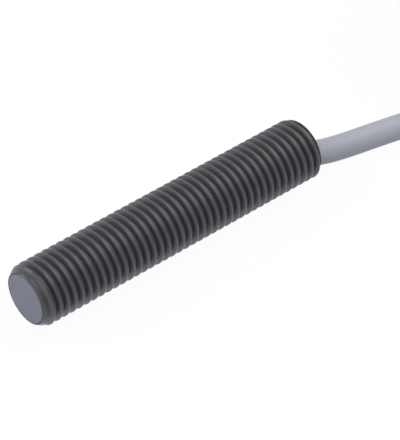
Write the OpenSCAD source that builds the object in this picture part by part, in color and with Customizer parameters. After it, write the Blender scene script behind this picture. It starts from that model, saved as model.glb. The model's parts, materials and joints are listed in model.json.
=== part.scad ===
// Inductive proximity sensor. A threaded plastic barrel lies on its side along X, with the middle of its
// sensing face at the origin and the face looking towards -X. Its electronics are cast in resin inside, and
// a free lead leaves the recess at its rear, runs along the floor and ends in a tied hank.
// All sizes are in millimetres. The surface that everything lies on is at z = -barrel_d / 2.

/* [Barrel] */
// Outer diameter over the thread crests
barrel_d = 8; // [8:0.1:10]
// Length from the front rim to the rear end
barrel_len = 42.5; // [41:0.5:60]
// Thread pitch
thread_pitch = 1.07; // [1:0.01:1.5]
// Thread depth from crest to root
thread_depth = 0.6; // [0.4:0.05:0.65]
// Width of the flat on each crest
crest_w = 0.2; // [0.1:0.02:0.3]
// Width of the flat in each root
root_w = 0.2; // [0.1:0.02:0.3]
// Diameter of the bore
bore_d = 5.4; // [5.2:0.1:5.8]
// Length of the taper at the front
taper_len = 1; // [0.8:0.1:1.4]
// Length over which the first turn of the thread runs out on the taper
run_out = 0.6; // [0.4:0.1:0.8]
// How far the bottom of the first turn lies below the taper, where the collar under it ends
first_turn_depth = 0.16; // [0.1:0.02:0.24]
// Wall of the front rim round the sensing face
rim_wall = 0.12; // [0.1:0.02:0.2]
// Chamfer at the rear end
rear_chamfer = 0.5; // [0.3:0.1:0.6]
// Chamfer at the mouth of the rear recess
mouth_chamfer = 0.25; // [0.1:0.05:0.35]
// Depth of the rear recess, from which the lead comes
recess_depth = 4.5; // [3:0.5:6]

/* [Sensing face] */
// Diameter of the gray disc
face_d = 6.36; // [6.2:0.02:6.5]
// Thickness of the disc
face_t = 0.6; // [0.4:0.05:0.8]
// Length of the cup behind the disc
cup_len = 4.6; // [4:0.1:6]
// Wall of the cup
cup_wall = 0.26; // [0.2:0.02:0.3]
// Radial clearance of a piece that is set into another
fit_gap = 0.02; // [0.01:0.01:0.04]

/* [Core and coil] */
// Length of the ferrite core
core_len = 2.3; // [2:0.1:3]
// Diameter of its middle post
post_d = 1.7; // [1.4:0.1:2]
// Outer diameter of its ring groove
groove_d = 3.8; // [3.6:0.1:4]
// Depth of the ring groove
groove_depth = 1.6; // [1.4:0.1:1.8]
// Width of the two slots for the coil's leads
slot_w = 0.5; // [0.3:0.1:0.7]
// Wall of the bobbin
bobbin_wall = 0.12; // [0.1:0.01:0.16]
// How far the winding stays below the bobbin's flanges
winding_margin = 0.1; // [0.05:0.05:0.2]
// Diameter of the winding's lead wires
coil_wire_d = 0.14; // [0.1:0.02:0.2]

/* [Board] */
// Length of the holder between the core and the board
holder_len = 2.1; // [1.6:0.1:2.6]
// How far the board reaches into the holder
grip = 1.2; // [0.8:0.1:1.4]
// Width of the board
board_w = 4.2; // [4:0.1:4.4]
// Thickness of the board
board_t = 0.6; // [0.5:0.1:0.8]
// Length over which the cores spread, from the end of the sheath to the board
core_fan = 3; // [2.6:0.1:4]
// Thickness of the copper screen
screen_t = 0.1; // [0.05:0.01:0.15]
// Height of a solder joint of a coil lead
bead_r = 0.25; // [0.2:0.05:0.35]
// Height of a solder joint of a core
joint_r = 0.65; // [0.55:0.05:0.68]

/* [Lead] */
// Diameter of the lead
cable_d = 3.2; // [3:0.1:3.4]
// Diameter of each of its three cores
core_d = 1.1; // [1:0.05:1.2]
// Distance of the cores from the middle of the lead
core_ring_r = 0.68; // [0.66:0.01:0.72]
// Distance between the cores at the board
core_step = 1.4; // [1.38:0.02:1.45]
// How far the cores lie over the board
core_overlap = 1.6; // [1:0.1:2]
// Length of the end plug
plug_len = 4; // [3:0.1:4.5]
// Length of the crimp ring on the sheath
crimp_len = 2.4; // [1.8:0.1:3]
// Wall of the crimp ring
crimp_wall = 0.5; // [0.4:0.05:0.7]
// How far the sheath reaches past the crimp ring
sheath_past_ring = 1.1; // [0.5:0.1:1.5]

/* [Hank] */
// Length of the hank's straight runs
hank_run = 48; // [40:1:56]
// Radius of the inner turns at the ends, at the middle of the lead
hank_bend_r = 9.7; // [9.6:0.1:12]
// Space between one turn and the next
turn_gap = 0.05; // [0:0.05:0.3]
// Turns on top of each other
hank_layers = 6; // [4:1:8]
// Distance of the tie from the start of the runs
tie_at = 16; // [10:1:30]
// Width of the tie
tie_w = 4; // [3:0.5:6]
// Thickness of the tie
tie_t = 0.6; // [0.4:0.1:0.8]
// Length of the stripped cores at the far end
strip_len = 12; // [10:0.5:12]
// Distance of the outer cores' ends from the middle one
strip_spread = 2.9; // [2.6:0.1:3.5]
// Length of the tinned tips
tip_len = 3; // [2:0.5:4]
// Diameter of the tinned tips
tip_d = 0.6; // [0.4:0.1:0.8]

/* [Hidden] */

// Barrel
barrel_r = barrel_d / 2;
bore_r = bore_d / 2;
floor_z = -barrel_r;
root_r = barrel_r - thread_depth;
rim_r = face_d / 2 + fit_gap + rim_wall;
collar_len = taper_len * 0.8;
collar_r = rim_r + (barrel_r - rim_r) * collar_len / taper_len - first_turn_depth;
// The collar ends inside the barrel's wall, this far below the roots
collar_sink = 0.1;
cutter_over = 0.2;
cut = 1;
helix_tilt = asin(thread_pitch / 4 / (barrel_r - thread_depth / 2));
flank_slope = ((thread_pitch - crest_w - root_w) / 2) / thread_depth;
// The groove's middle passes this far behind the rim on the side at -Y
thread_phase = 0.62;
groove_count = ceil(barrel_len / thread_pitch) + 1;
// Each half is turned about the axis by these angles, so that no seam lies where the halves meet
blank_seam = 75;
ring_seam = 60;

// Places along X, from the front to the rear
core_x = face_t;
holder_x = core_x + core_len;
board_x = holder_x + holder_len - grip;
cup_end = face_t + cup_len;
holder_end = holder_x + holder_len;
cable_exit_x = barrel_len - recess_depth;
plug_x = cable_exit_x - plug_len;
crimp_x = plug_x - crimp_len;
sheath_x = crimp_x - sheath_past_ring;
board_end = sheath_x - core_fan;
board_len = board_end - board_x;
screen_past_board = 0.6;
screen_end = board_end + screen_past_board;

// Radii of what is nested in the bore
cup_r = bore_r - fit_gap;
cup_inner_r = cup_r - cup_wall;
core_r = cup_inner_r - fit_gap;
screen_r = bore_r - fit_gap;
screen_inner_r = screen_r - screen_t;
board_top = board_t / 2;

// Bobbin and winding, in the core's groove
bobbin_in = post_d / 2 + fit_gap;
bobbin_out = groove_d / 2 - fit_gap;
bobbin_len = groove_depth - 2 * fit_gap;
bobbin_x = core_x + fit_gap;
winding_in = bobbin_in + bobbin_wall;
winding_out = bobbin_out - winding_margin;
winding_mid_x = bobbin_x + bobbin_len / 2;
lead_height = (groove_d / 2 + core_r) / 2;
lead_turn_x = holder_end + 0.35;
lead_pad_x = holder_end + 0.9;
lead_rise = 1;
lead_bend_r = 0.2;

// Components. Each place is counted along the board from its front edge, and then across it.
chip_place = [5, 0];
transistor_place = [board_len - 11, 0];
diode_place = [board_len - 6.7, 0];
resistor_size = [1.6, 0.8, 0.45];
resistor_places = [for (x = [4, 7], y = [-0.9, 0.9]) [x, y]];
capacitor_size = [1.6, 0.8, 0.8];
capacitor_places = [[board_len - 13.7, 0], [board_len - 10.7, -0.8], [board_len - 10.7, 0.8]];

// Cores, each with its place in the sheath as an angle and its place over the board
core_r_wire = core_d / 2;
core_lift = board_top + core_r_wire + fit_gap;
core_end_x = board_end - core_overlap;
core_bend_r = 1.2;
core_angle = [210, 330, 90];
core_side = [-1, 1, 0];

// The lead's route along the floor, from the plug to the hank, counted from the plug's middle
lead_shape = [
    [0, 0, 0], [1, 0, 0], [2.5, -0.05, -0.22], [4, -0.2, -0.7], [5.5, -0.4, -1.28], [7, -0.6, -1.82],
    [8.5, -0.8, -2.14], [10, -1.02, -2.32], [12, -1.4, -2.4], [16, -2.25, -2.4], [21, -3.4, -2.4],
    [26, -4.65, -2.4], [31, -6.2, -2.4], [35.5, -7.95, -2.35], [39, -9.2, -2.2], [42.5, -9.9, -1.95],
    [45.5, -10, -1.8], [48, -10, -1.8]
];
lead_route = [for (p = lead_shape) [cable_exit_x, 0, 0] + p];
lead_end = lead_route[len(lead_route) - 1];

// Hank. The outer column of turns climbs from the lead, and the inner one comes down again.
cable_r = cable_d / 2;
turn_step = cable_d + turn_gap;
hank_x = lead_end[0] - 2;
hank_y = lead_end[1] + hank_bend_r + turn_step;
hank_z = floor_z + tie_t;
hank_inner_r = hank_bend_r - cable_r;
column_edge_r = hank_bend_r + turn_step / 2;
hank_outer_r = hank_bend_r + turn_step + cable_r;
hank_h = (hank_layers - 1) * turn_step + cable_d;
layer_h = (cable_d + turn_step) / 2;
tie_x = hank_x + tie_at;
tie_gap = 0.03;

// The lead's end leaves the lowest inner turn for the floor inside the loop, and the next turn comes down into
// its place at the end of the channel. Each row says how far the lead has gone back along the run and how far
// into the loop, and its share of the way down to the floor.
tail_x = hank_x + hank_run - 4;
channel_len = 18;
tail_shape = [[0, 0, 0], [1, 0, 0], [2.5, 0.1, 0.3], [4, 0.45, 0.7], [6, 1.15, 1], [8, 2, 1]];
tail_route = [
    for (p = tail_shape)
        [tail_x - p[0], hank_y + hank_bend_r - p[1], hank_z - p[2] * tie_t + cable_r]
];

// The stripped cores fan out on the floor. Each row gives a share of their length, and then the outer cores'
// share of the way apart, their share of the way down, and the middle core's.
strip_shape = [
    [0, 0, 0, 0], [0.04, 0, 0, 0], [0.12, 0.09, 0.15, 0], [0.25, 0.24, 0.5, 0.15], [0.38, 0.39, 0.85, 0.45],
    [0.5, 0.52, 1, 0.8], [0.66, 0.68, 1, 1], [0.83, 0.83, 1, 1], [1, 1, 1, 1]
];

module along_x() {
    rotate([0, 90, 0]) children();
}

module ring_between(outer, inner, length) {
    difference() {
        cylinder(r = outer, h = length, $fn = 72);
        translate([0, 0, -cut]) cylinder(r = inner, h = length + 2 * cut, $fn = 72);
    }
}

function unit(v) = v / norm(v);

function between(a, b, share) = a + (b - a) * share;

// A round bar from one point to another
module bar(a, b, d) {
    v = b - a;
    translate(a)
        rotate([0, acos(v[2] / norm(v)), atan2(v[1], v[0])])
            cylinder(d = d, h = norm(v), $fn = 24);
}

// Points along the bend that takes the place of a corner
function bend_points(corners, i, bend_r, steps) =
    let (
        a = unit(corners[i] - corners[i - 1]),
        b = unit(corners[i + 1] - corners[i]),
        angle = atan2(norm(cross(a, b)), a * b),
        inward = unit(b - (a * b) * a),
        centre = corners[i] - a * bend_r * tan(angle / 2) + inward * bend_r
    )
    [for (k = [0:steps]) centre + bend_r * (sin(k * angle / steps) * a - cos(k * angle / steps) * inward)];

// A route with a bend at each of its inner corners
function bent(corners, bend_r, steps = 4) =
    let (last = len(corners) - 1)
    concat([corners[0]], [for (i = [1:last - 1]) each bend_points(corners, i, bend_r, steps)], [corners[last]]);

function heading(route, i) = unit(route[min(i + 1, len(route) - 1)] - route[max(i - 1, 0)]);

function ring_points(route, i, r, sides, level) =
    let (along = heading(route, i), side = unit(cross(level, along)), up = cross(along, side))
    [for (k = [0:sides - 1]) route[i] + r * (cos(k * 360 / sides) * side + sin(k * 360 / sides) * up)];

// A tube swept along a route, with a flat face at each end. The route never runs along the level direction.
module tube(route, d, sides = 8, level = [0, 0, 1]) {
    rings = len(route);
    sides_faces = [
        for (i = [0:rings - 2], k = [0:sides - 1])
            let (a = i * sides + k, b = i * sides + (k + 1) % sides)
            [a, a + sides, b + sides, b]
    ];
    front = [for (k = [0:sides - 1]) k];
    back = [for (k = [sides - 1:-1:0]) (rings - 1) * sides + k];
    polyhedron(
        points = [for (i = [0:rings - 1]) each ring_points(route, i, d / 2, sides, level)],
        faces = concat([front], sides_faces, [back])
    );
}

// Section of one thread groove, in the plane through the axis
module groove_section() {
    mouth = (thread_pitch - crest_w) / 2 + flank_slope * cutter_over;
    polygon([
        [root_r, -root_w / 2],
        [barrel_r + cutter_over, -mouth],
        [barrel_r + cutter_over, mouth],
        [root_r, root_w / 2]
    ]);
}

// Half of the barrel's outside. A half turn of the helix is half of a ring that is tilted by the lead
// angle, and the rings of the two halves lean opposite ways, so that the groove climbs a pitch each turn.
module threaded_half(side) {
    start = thread_phase + thread_pitch * (side > 0 ? -0.5 : 0);
    difference() {
        intersection() {
            rotate([0, 0, side * blank_seam])
                rotate_extrude($fn = 96)
                    polygon([
                        [0, 0],
                        [rim_r, 0],
                        [barrel_r, taper_len],
                        [barrel_r, barrel_len - rear_chamfer],
                        [barrel_r - rear_chamfer, barrel_len],
                        [0, barrel_len]
                    ]);
            translate([-barrel_d, side > 0 ? 0 : -barrel_d, -cut])
                cube([2 * barrel_d, barrel_d, barrel_len + 2 * cut]);
        }
        for (k = [-1:groove_count])
            translate([0, 0, start + thread_pitch * k])
                rotate([0, side * helix_tilt, 0])
                    rotate([0, 0, side * ring_seam])
                        rotate_extrude($fn = 72) groove_section();
    }
}

// The collar behind the front rim, which leaves the first turn shallow
module lead_in_collar() {
    rotate_extrude($fn = 96)
        polygon([
            [0, 0],
            [rim_r, 0],
            [collar_r, collar_len],
            [root_r - collar_sink, collar_len + run_out],
            [0, collar_len + run_out]
        ]);
}

module barrel() {
    color([0.16, 0.16, 0.17])
        along_x()
            difference() {
                union() {
                    threaded_half(1);
                    threaded_half(-1);
                    lead_in_collar();
                }
                translate([0, 0, -cut]) cylinder(r = bore_r, h = barrel_len + 2 * cut, $fn = 72);
                translate([0, 0, -cut]) cylinder(r = face_d / 2 + fit_gap, h = face_t + cut, $fn = 72);
                translate([0, 0, barrel_len - mouth_chamfer])
                    cylinder(r1 = bore_r, r2 = bore_r + mouth_chamfer, h = mouth_chamfer, $fn = 72);
                translate([0, 0, barrel_len])
                    cylinder(r = bore_r + mouth_chamfer, h = cut, $fn = 72);
            }
}

module face_cap() {
    color([0.5, 0.5, 0.53])
        along_x() {
            cylinder(d = face_d, h = face_t, $fn = 72);
            translate([0, 0, face_t]) ring_between(cup_r, cup_inner_r, cup_len);
        }
}

module ferrite_core() {
    color([0.2, 0.19, 0.19])
        difference() {
            translate([core_x, 0, 0]) along_x() cylinder(r = core_r, h = core_len, $fn = 72);
            translate([core_x - cut, 0, 0])
                along_x() ring_between(groove_d / 2, post_d / 2, groove_depth + cut);
            for (side = [-1, 1])
                translate([core_x - cut, -slot_w / 2, side > 0 ? groove_d / 2 - slot_w : -barrel_r])
                    cube([core_len + 2 * cut, slot_w, barrel_r - groove_d / 2 + slot_w]);
        }
}

module coil_bobbin() {
    color([0.85, 0.83, 0.76])
        translate([bobbin_x, 0, 0])
            along_x() {
                ring_between(bobbin_in + bobbin_wall, bobbin_in, bobbin_len);
                ring_between(bobbin_out, bobbin_in, bobbin_wall);
                translate([0, 0, bobbin_len - bobbin_wall])
                    ring_between(bobbin_out, bobbin_in, bobbin_wall);
            }
}

module coil_winding() {
    color([0.72, 0.42, 0.2])
        translate([bobbin_x + bobbin_wall, 0, 0])
            along_x() ring_between(winding_out, winding_in, bobbin_len - 2 * bobbin_wall);
}

// A lead leaves the winding through the slot on its side, and ends on top of its solder joint
module coil_lead(side) {
    color([0.72, 0.42, 0.2])
        tube(bent([
            [winding_mid_x, 0, side * winding_out],
            [winding_mid_x, 0, side * lead_height],
            [lead_turn_x, 0, side * lead_height],
            [lead_pad_x, 0, side * (board_top + lead_rise)],
            [lead_pad_x, 0, side * (board_top + bead_r)]
        ], lead_bend_r), coil_wire_d, 8, [0, 1, 0]);
}

module coil_lead_a() {
    coil_lead(1);
}

module coil_lead_b() {
    coil_lead(-1);
}

module board_holder() {
    slot = board_t + 2 * fit_gap;
    color([0.15, 0.15, 0.15])
        difference() {
            translate([holder_x, 0, 0]) along_x() cylinder(r = core_r, h = holder_len, $fn = 72);
            translate([board_x, -board_w / 2 - fit_gap, -slot / 2])
                cube([grip + cut, board_w + 2 * fit_gap, slot]);
            for (side = [-1, 1])
                translate([holder_x - cut, -slot_w / 2, side > 0 ? groove_d / 2 : -barrel_r])
                    cube([holder_len + 2 * cut, slot_w, barrel_r - groove_d / 2]);
        }
}

module circuit_board() {
    color([0.1, 0.35, 0.2])
        translate([board_x, -board_w / 2, -board_top]) cube([board_len, board_w, board_t]);
}

// Puts a component on the board's upper face, side 1, or its lower face, side -1
module on_board(place, side = 1) {
    translate([board_x + place[0], place[1], side * board_top])
        rotate([side > 0 ? 0 : 180, 0, 0])
            children();
}

module block(size) {
    translate([-size[0] / 2, -size[1] / 2, 0]) cube(size);
}

// A moulded body on bent legs: legs is a list of places along the body, each with its side
module packaged(size, legs, leg_w, reach) {
    stand = 0.08;
    leg_t = 0.15;
    rooted = 0.2;
    translate([0, 0, stand]) block([size[0], size[1], size[2] - stand]);
    for (leg = legs) {
        translate([leg[0], leg[1] * (size[1] + reach - rooted) / 2, size[2] / 2 - leg_t / 2])
            block([leg_w, reach + rooted, leg_t]);
        translate([leg[0], leg[1] * (size[1] / 2 + reach - leg_t / 2), 0])
            block([leg_w, leg_t, size[2] / 2]);
    }
}

// A chip component with a raised cap at each end
module chip(size) {
    cap = 0.3;
    sunk = 0.02;
    translate([0, 0, sunk]) block([size[0] - cap, size[1] - 2 * sunk, size[2] - 2 * sunk]);
    for (side = [-1, 1])
        translate([side * (size[0] - cap) / 2, 0, 0]) block([cap, size[1], size[2]]);
}

module sensor_chip() {
    pin_step = 0.65;
    color([0.12, 0.12, 0.12])
        on_board(chip_place)
            packaged([3, 2.4, 1.05], [for (i = [-1.5:1:1.5], s = [-1, 1]) [i * pin_step, s]], 0.25, 0.55);
}

module output_transistor() {
    color([0.12, 0.12, 0.12])
        on_board(transistor_place)
            packaged([2.9, 1.3, 1], [[-0.95, -1], [0.95, -1], [0, 1]], 0.4, 0.55);
}

module suppressor_diode() {
    color([0.14, 0.14, 0.15])
        on_board(diode_place)
            packaged([2.6, 1.6, 1.1], [[-0.7, -1], [0.7, 1]], 0.6, 0.4);
}

module polarity_diode() {
    color([0.14, 0.14, 0.15])
        on_board(diode_place, -1)
            packaged([1.8, 1.3, 0.9], [[-0.4, -1], [0.4, 1]], 0.4, 0.4);
}

module resistor(i) {
    color([0.1, 0.1, 0.11])
        on_board(resistor_places[i], -1) chip(resistor_size);
}

module resistor_1() {
    resistor(0);
}

module resistor_2() {
    resistor(1);
}

module resistor_3() {
    resistor(2);
}

module resistor_4() {
    resistor(3);
}

module capacitor(i) {
    color([0.6, 0.47, 0.33])
        on_board(capacitor_places[i], -1) chip(capacitor_size);
}

module capacitor_1() {
    capacitor(0);
}

module capacitor_2() {
    capacitor(1);
}

module capacitor_3() {
    capacitor(2);
}

module half_ball(r) {
    intersection() {
        sphere(r = r, $fn = 32);
        translate([-2 * r, -2 * r, 0]) cube([4 * r, 4 * r, 4 * r]);
    }
}

// Two small joints for the coil's leads, and three large ones in front of the cores' ends
module solder_joints() {
    color([0.75, 0.75, 0.74]) {
        for (side = [-1, 1])
            on_board([lead_pad_x - board_x, 0], side) half_ball(bead_r);
        for (i = [-1:1])
            on_board([core_end_x - joint_r - board_x, i * core_step]) half_ball(joint_r);
    }
}

module screen_sleeve() {
    color([0.75, 0.47, 0.3])
        translate([cup_end, 0, 0])
            along_x() ring_between(screen_r, screen_inner_r, screen_end - cup_end);
}

module potting_resin() {
    color([0.1, 0.1, 0.11])
        difference() {
            along_x() {
                translate([0, 0, holder_end]) cylinder(r = cup_inner_r, h = cup_end - holder_end, $fn = 72);
                translate([0, 0, cup_end])
                    cylinder(r = screen_inner_r, h = screen_end - cup_end, $fn = 72);
                translate([0, 0, screen_end]) cylinder(r = screen_r, h = plug_x - screen_end, $fn = 72);
            }
            circuit_board();
            coil_lead_a();
            coil_lead_b();
            sensor_chip();
            output_transistor();
            suppressor_diode();
            polarity_diode();
            for (i = [0:3])
                resistor(i);
            for (i = [0:2])
                capacitor(i);
            solder_joints();
            for (i = [0:2])
                core_wire(i);
            translate([sheath_x, 0, 0]) along_x() cylinder(r = cable_r, h = plug_x - sheath_x, $fn = 72);
            crimp_ring();
        }
}

// The sheath's end, with a hole for each core
module cable_stub() {
    color([0.62, 0.63, 0.66])
        difference() {
            translate([sheath_x, 0, 0])
                along_x() cylinder(r = cable_r, h = cable_exit_x - sheath_x, $fn = 72);
            for (a = core_angle)
                translate([sheath_x - cut, core_ring_r * cos(a), core_ring_r * sin(a)])
                    along_x() cylinder(d = core_d, h = cable_exit_x - sheath_x + 2 * cut, $fn = 24);
        }
}

module core_wire(i) {
    straight = 0.5;
    y = core_ring_r * cos(core_angle[i]);
    z = core_ring_r * sin(core_angle[i]);
    tube(bent([
        [cable_exit_x, y, z],
        [sheath_x - straight, y, z],
        [board_end + straight, core_side[i] * core_step, core_lift],
        [core_end_x, core_side[i] * core_step, core_lift]
    ], core_bend_r), core_d, 12);
}

module core_brown() {
    color([0.35, 0.2, 0.12]) core_wire(0);
}

module core_blue() {
    color([0.1, 0.25, 0.6]) core_wire(1);
}

module core_black() {
    color([0.06, 0.06, 0.06]) core_wire(2);
}

module crimp_ring() {
    color([0.72, 0.6, 0.35])
        translate([crimp_x, 0, 0])
            along_x() ring_between(cable_r + crimp_wall, cable_r, crimp_len);
}

module end_plug() {
    bevel = 0.3;
    color([0.1, 0.1, 0.1])
        translate([plug_x, 0, 0])
            along_x()
                difference() {
                    ring_between(bore_r - fit_gap, cable_r, plug_len);
                    translate([0, 0, plug_len - bevel])
                        cylinder(r1 = cable_r, r2 = cable_r + bevel, h = bevel + fit_gap, $fn = 72);
                }
}

module cable_run() {
    color([0.68, 0.69, 0.73]) tube(lead_route, cable_d);
}

// Outline of a loop with round ends
module loop_outline(r) {
    translate([hank_x, hank_y]) circle(r = r, $fn = 96);
    translate([hank_x + hank_run, hank_y]) circle(r = r, $fn = 96);
    translate([hank_x, hank_y - r]) square([hank_run, 2 * r]);
}

module loop_layer(outer, inner, z, h) {
    translate([0, 0, z])
        linear_extrude(h)
            difference() {
                loop_outline(outer);
                loop_outline(inner);
            }
}

// The hank's outer shape, open where the lead comes in and where its end lies
module cable_hank() {
    reach = 2 * hank_outer_r;
    color([0.68, 0.69, 0.73])
        difference() {
            loop_layer(hank_outer_r, hank_inner_r, hank_z, hank_h);
            intersection() {
                loop_layer(hank_outer_r + cut, column_edge_r, hank_z - cut, layer_h + cut);
                translate([hank_x - reach, hank_y - reach, hank_z - cut])
                    cube([lead_end[0] - hank_x + reach, reach - cable_d, layer_h + 2 * cut]);
            }
            translate([tail_x - channel_len, hank_y + hank_inner_r - cut, hank_z - cut])
                cube([channel_len, column_edge_r - hank_inner_r + cut, layer_h + cut]);
        }
}

module cable_tail() {
    color([0.68, 0.69, 0.73]) tube(tail_route, cable_d);
}

module round_box_outline(w, h, r) {
    translate([-r, 0]) square([w + 2 * r, h]);
    translate([0, -r]) square([w, h + 2 * r]);
    for (x = [0, w], y = [0, h])
        translate([x, y]) circle(r = r, $fn = 32);
}

module hank_tie() {
    width = 2 * hank_outer_r;
    color([0.2, 0.2, 0.2])
        translate([tie_x, hank_y - hank_outer_r, hank_z])
            rotate([90, 0, 90])
                linear_extrude(tie_w)
                    difference() {
                        round_box_outline(width, hank_h, tie_t);
                        round_box_outline(width, hank_h, tie_gap);
                    }
}

// A point of a stripped core: side is -1 or 1 for the outer ones and 0 for the one between and above them
function strip_point(side, row) =
    let (
        last = len(tail_route) - 1,
        along = unit(tail_route[last] - tail_route[last - 1]),
        apart = between(core_ring_r * cos(30), strip_spread, row[1]),
        start_z = cable_r + (side == 0 ? core_ring_r : -core_ring_r * sin(30)),
        z = floor_z + between(start_z, core_r_wire, side == 0 ? row[3] : row[2])
    )
    [
        tail_route[last][0] + along[0] * row[0] * strip_len - along[1] * side * apart,
        tail_route[last][1] + along[1] * row[0] * strip_len + along[0] * side * apart,
        z
    ];

function strip_route(i) = [for (row = strip_shape) strip_point(core_side[i], row)];

module tail_brown() {
    color([0.35, 0.2, 0.12]) tube(strip_route(0), core_d);
}

module tail_blue() {
    color([0.1, 0.25, 0.6]) tube(strip_route(1), core_d);
}

module tail_black() {
    color([0.06, 0.06, 0.06]) tube(strip_route(2), core_d);
}

module tinned_tips() {
    color([0.78, 0.78, 0.77])
        for (i = [0:2]) {
            route = strip_route(i);
            last = len(route) - 1;
            bar(route[last], route[last] + heading(route, last) * tip_len, tip_d);
        }
}

barrel();
face_cap();
ferrite_core();
coil_bobbin();
coil_winding();
coil_lead_a();
coil_lead_b();
board_holder();
circuit_board();
sensor_chip();
output_transistor();
suppressor_diode();
polarity_diode();
resistor_1();
resistor_2();
resistor_3();
resistor_4();
capacitor_1();
capacitor_2();
capacitor_3();
solder_joints();
screen_sleeve();
potting_resin();
cable_stub();
core_brown();
core_blue();
core_black();
crimp_ring();
end_plug();
cable_run();
cable_hank();
cable_tail();
hank_tie();
tail_brown();
tail_blue();
tail_black();
tinned_tips();
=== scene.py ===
"""Dressed model of an inductive proximity sensor: a threaded plastic barrel with a flying lead.

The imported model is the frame: +Z up, the barrel along X, the middle of the sensing face at the origin.
Each sub-assembly is a class that works its surfaces out as whole arrays in millimetres. Meshes are
stored in metres. A finish is a node material on Object coordinates or on an attribute of the surface.
"""

from __future__ import annotations

import json
import logging
import math
from collections.abc import Sequence
from dataclasses import dataclass, field
from enum import Enum

import bmesh
import bpy
import numpy as np
from bpy.types import ID, Material, Node, NodeSocket, Object
from mathutils import Matrix, Vector

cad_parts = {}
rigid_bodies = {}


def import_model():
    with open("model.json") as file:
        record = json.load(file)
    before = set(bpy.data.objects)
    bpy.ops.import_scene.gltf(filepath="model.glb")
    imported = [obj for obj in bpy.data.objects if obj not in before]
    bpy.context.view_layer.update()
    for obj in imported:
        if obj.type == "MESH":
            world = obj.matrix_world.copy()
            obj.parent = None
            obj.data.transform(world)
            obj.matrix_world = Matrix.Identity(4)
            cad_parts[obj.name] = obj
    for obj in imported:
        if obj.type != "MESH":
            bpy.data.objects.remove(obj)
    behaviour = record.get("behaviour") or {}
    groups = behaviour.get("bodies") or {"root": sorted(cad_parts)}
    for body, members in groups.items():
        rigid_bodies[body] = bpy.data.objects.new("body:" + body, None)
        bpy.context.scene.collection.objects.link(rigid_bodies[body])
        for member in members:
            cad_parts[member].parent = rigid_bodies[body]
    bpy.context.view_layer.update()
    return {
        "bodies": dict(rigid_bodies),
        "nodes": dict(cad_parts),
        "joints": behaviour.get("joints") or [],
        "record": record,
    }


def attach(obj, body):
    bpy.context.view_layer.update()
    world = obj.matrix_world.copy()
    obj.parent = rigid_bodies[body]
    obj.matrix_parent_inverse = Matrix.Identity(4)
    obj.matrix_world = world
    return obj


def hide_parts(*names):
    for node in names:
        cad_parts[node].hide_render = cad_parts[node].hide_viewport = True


LOG = logging.getLogger("sensor")
MM = 0.001
BODY = "root"
WELD = 2e-4
STRAIGHT = "straightened"
# Height on the thread, 0 in a root and 1 on a crest, which the barrel's finish uses to paint shade in the
# roots.
CREST = "crest"

Array = np.ndarray
Triple = tuple[float, float, float]
Colour = Triple
WHITE: Colour = (1.0, 1.0, 1.0)


# Arrays and curves


def smoothstep(value: Array | float) -> Array:
    """Ramp from 0 to 1 with level ends: 3t^2 - 2t^3 on the value held between 0 and 1."""
    held = np.clip(value, 0.0, 1.0)
    return held * held * (3.0 - 2.0 * held)


def soft_min(a: Array, b: Array | float, width: float) -> Array:
    """Lower of two heights, rounded: the mean less half of the root of difference^2 + width^2."""
    return 0.5 * (a + b - np.sqrt((a - b) ** 2 + width**2))


def distances(path: Array) -> Array:
    """Length of the path from its start to each of its points."""
    steps = np.linalg.norm(np.diff(path, axis=0), axis=1)
    return np.concatenate([[0.0], np.cumsum(steps)])


def smooth_route(points: Array, step: float) -> Array:
    """Curve through the points: a cubic on each span, with its end slopes from the chords beside it.

    Args:
        points: The route's points, one a row.
        step: Distance between the points of the result.

    Returns:
        Points along the curve, the first and last of the route included.
    """
    reach = distances(points)
    slopes = np.gradient(points, reach, axis=0)
    where = np.linspace(0.0, reach[-1], math.ceil(reach[-1] / step) + 1)
    span = np.clip(np.searchsorted(reach, where, side="right") - 1, 0, len(reach) - 2)
    width = (reach[span + 1] - reach[span])[:, None]
    t = ((where - reach[span]) / width[:, 0])[:, None]
    return (
        (2 * t**3 - 3 * t**2 + 1) * points[span]
        + (t**3 - 2 * t**2 + t) * width * slopes[span]
        + (3 * t**2 - 2 * t**3) * points[span + 1]
        + (t**3 - t**2) * width * slopes[span + 1]
    )


def respaced(path: Array, step: float) -> Array:
    """The same path with its points an even step apart, by linear interpolation along its length.

    Args:
        path: Points, one a row.
        step: Distance between the new points, before it is rounded to fit a whole number of times.

    Returns:
        The new points, the first and last of the path included.
    """
    reach = distances(path)
    where = np.linspace(0.0, reach[-1], int(round(reach[-1] / step)) + 1)
    return np.stack([np.interp(where, reach, part) for part in path.T], axis=1)


def ring_angles(count: int) -> Array:
    """Even angles round a ring, without the closing one: 2 pi k / count."""
    return np.arange(count) * (2 * math.pi / count)


def points_of(*parts: Array | float) -> Array:
    """Points from their coordinates, each an array or one number for all of them."""
    return np.stack(np.broadcast_arrays(*parts), axis=-1)


def unit(vectors: Array) -> Array:
    """The same vectors with a length of 1."""
    return vectors / np.linalg.norm(vectors, axis=-1, keepdims=True)


def tube_rings(path: Array, radius: Array | float, sides: int) -> Array:
    """Rings across a path, one a row: path + radius * (cos a * side + sin a * up).

    Side is level, and up is square to it and to the path, which never runs straight up.

    Args:
        path: Points of the middle, one a row.
        radius: One radius, or one for each point of each ring.
        sides: Points in a ring.

    Returns:
        The points, rings by sides by three.
    """
    along = unit(np.gradient(path, axis=0))
    side = unit(np.cross([0.0, 0.0, 1.0], along))[:, None]
    up = np.cross(along[:, None], side)
    angle = ring_angles(sides)[None, :, None]
    size = np.broadcast_to(radius, (len(path), sides))[:, :, None]
    return path[:, None] + size * (np.cos(angle) * side + np.sin(angle) * up)


def turned(x: Array, radius: Array, angle: Array) -> Array:
    """Points about the barrel's axis: (x, r sin a, -r cos a), so that angle 0 is straight down."""
    return points_of(x, radius * np.sin(angle), -radius * np.cos(angle))


# Meshes


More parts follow.
